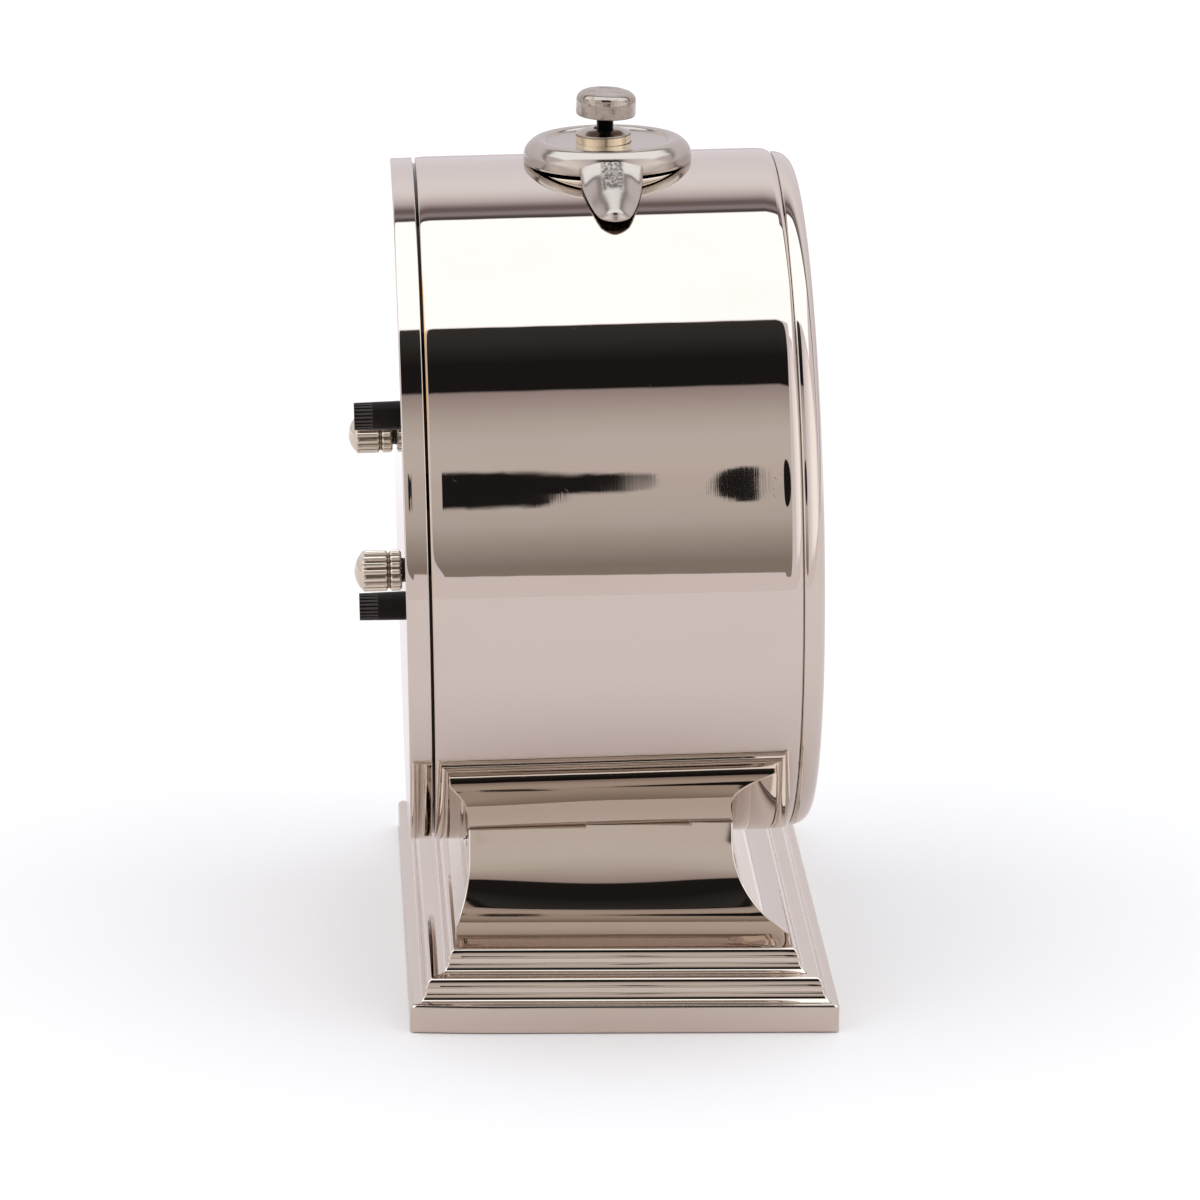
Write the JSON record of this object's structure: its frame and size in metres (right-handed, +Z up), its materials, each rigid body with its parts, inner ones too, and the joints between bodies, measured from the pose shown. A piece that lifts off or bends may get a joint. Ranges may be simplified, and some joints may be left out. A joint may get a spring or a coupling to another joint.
{
  "type": "table clock",
  "caption": "Table clock: polished round drum leaning back on a stepped rectangular base, push button and thumb lever on top, fluted nuts and setting knobs behind.",
  "frame": {"origin": "middle of the base's underside, on the felt pad", "axes": "+Z up, +X to the reader's right, -Y towards the reader; the dial faces -Y and leans back 1.75 degrees"},
  "size_m": [0.1412, 0.0978, 0.1804],
  "materials": {
    "nickel": "mirror-polished nickel plate",
    "steel": "plain zinc-plated steel",
    "spring_steel": "bright spring steel",
    "blackened_steel": "blackened steel",
    "brass": "turned brass",
    "collar_brass": "thinly plated brass",
    "felt": "pressed felt",
    "crystal": "clear mineral glass",
    "rubber": "soft black rubber",
    "dial_white": "satin white enamel paint",
    "ring_white": "satin white paint",
    "black_plastic": "moulded ABS",
    "grey_plastic": "moulded ABS",
    "cell_jacket": "plain printed steel jacket",
    "hand_black": "black lacquer",
    "alarm_red": "red lacquer",
    "knob_black": "moulded black plastic, fluted end"
  },
  "bodies": {
    "case": {"base_casting": "nickel", "felt_pad": "felt", "base_screws": "steel", "base_nuts": "brass", "drum_shell": "nickel", "rear_cover": "nickel", "cover_studs": "steel", "bezel": "nickel", "crystal": "crystal", "crystal_gasket": "rubber", "dial_ring": "ring_white", "dial": "dial_white", "dial_plate": "steel", "movement_case": "black_plastic", "movement_cover": "grey_plastic", "center_bush": "brass", "bush_nut": "brass", "bush_washer": "rubber", "battery": "cell_jacket", "battery_contacts": "spring_steel", "buzzer": "black_plastic", "button_saddle": "nickel", "button_collar": "collar_brass", "barrel_nut": "brass", "switch_bracket": "steel", "stop_switch": "black_plastic"},
    "hour": {"hour_hand": "hand_black", "hour_pipe": "brass"},
    "minute": {"minute_hand": "hand_black", "minute_pipe": "brass"},
    "second": {"second_hand": "hand_black", "second_arbor": "steel"},
    "alarm": {"alarm_hand": "alarm_red", "alarm_pipe": "brass"},
    "time_set": {"time_knob": "knob_black", "time_shaft": "steel"},
    "alarm_set": {"alarm_knob": "knob_black", "alarm_shaft": "steel"},
    "nut_left": {"thumb_nut_left": "nickel"},
    "nut_right": {"thumb_nut_right": "nickel"},
    "lever": {"lever_ring": "nickel"},
    "button": {"button_head": "nickel", "button_stem": "blackened_steel", "button_clip": "spring_steel", "button_spring": "spring_steel"}
  },
  "joints": [
    {"name": "minute_spin", "type": "hinge", "parent": "case", "child": "minute", "pos_m": [0, -0.03168, 0.09572], "axis": [0, 0.9995, -0.0305], "continuous": true},
    {"name": "hour_spin", "type": "hinge", "parent": "case", "child": "hour", "pos_m": [0, -0.03168, 0.09572], "axis": [0, 0.9995, -0.0305], "continuous": true},
    {"name": "second_spin", "type": "hinge", "parent": "case", "child": "second", "pos_m": [0, -0.03168, 0.09572], "axis": [0, 0.9995, -0.0305], "continuous": true},
    {"name": "alarm_spin", "type": "hinge", "parent": "case", "child": "alarm", "pos_m": [0, -0.03168, 0.09572], "axis": [0, 0.9995, -0.0305], "continuous": true},
    {"name": "time_knob_spin", "type": "hinge", "parent": "case", "child": "time_set", "pos_m": [-0.012, 0.04537, 0.11437], "axis": [0, 0.9995, -0.0305], "continuous": true},
    {"name": "alarm_knob_spin", "type": "hinge", "parent": "case", "child": "alarm_set", "pos_m": [-0.012, 0.04414, 0.07389], "axis": [0, 0.9995, -0.0305], "continuous": true},
    {"name": "left_nut_spin", "type": "hinge", "parent": "case", "child": "nut_left", "pos_m": [-0.053, 0.04473, 0.09338], "axis": [0, 0.9995, -0.0305], "continuous": true},
    {"name": "right_nut_spin", "type": "hinge", "parent": "case", "child": "nut_right", "pos_m": [0.053, 0.04473, 0.09338], "axis": [0, 0.9995, -0.0305], "continuous": true},
    {"name": "lever_turn", "type": "hinge", "parent": "case", "child": "lever", "pos_m": [0, 0.0027, 0.1667], "axis": [0, 0.0305, 0.9995], "range_deg": [-12, 12]},
    {"name": "button_press", "type": "slide", "parent": "case", "child": "button", "axis": [0, -0.0305, -0.9995], "range_m": [0, 0.0025], "stiffness_N_per_m": 160, "springref_m": -0.002, "deforming": ["button_spring"]}
  ],
  "couplings": [
    {"joint": "hour_spin", "follows": "minute_spin", "ratio": 0.083333},
    {"joint": "time_knob_spin", "follows": "minute_spin", "ratio": -0.33333},
    {"joint": "alarm_knob_spin", "follows": "alarm_spin", "ratio": -1}
  ]
}
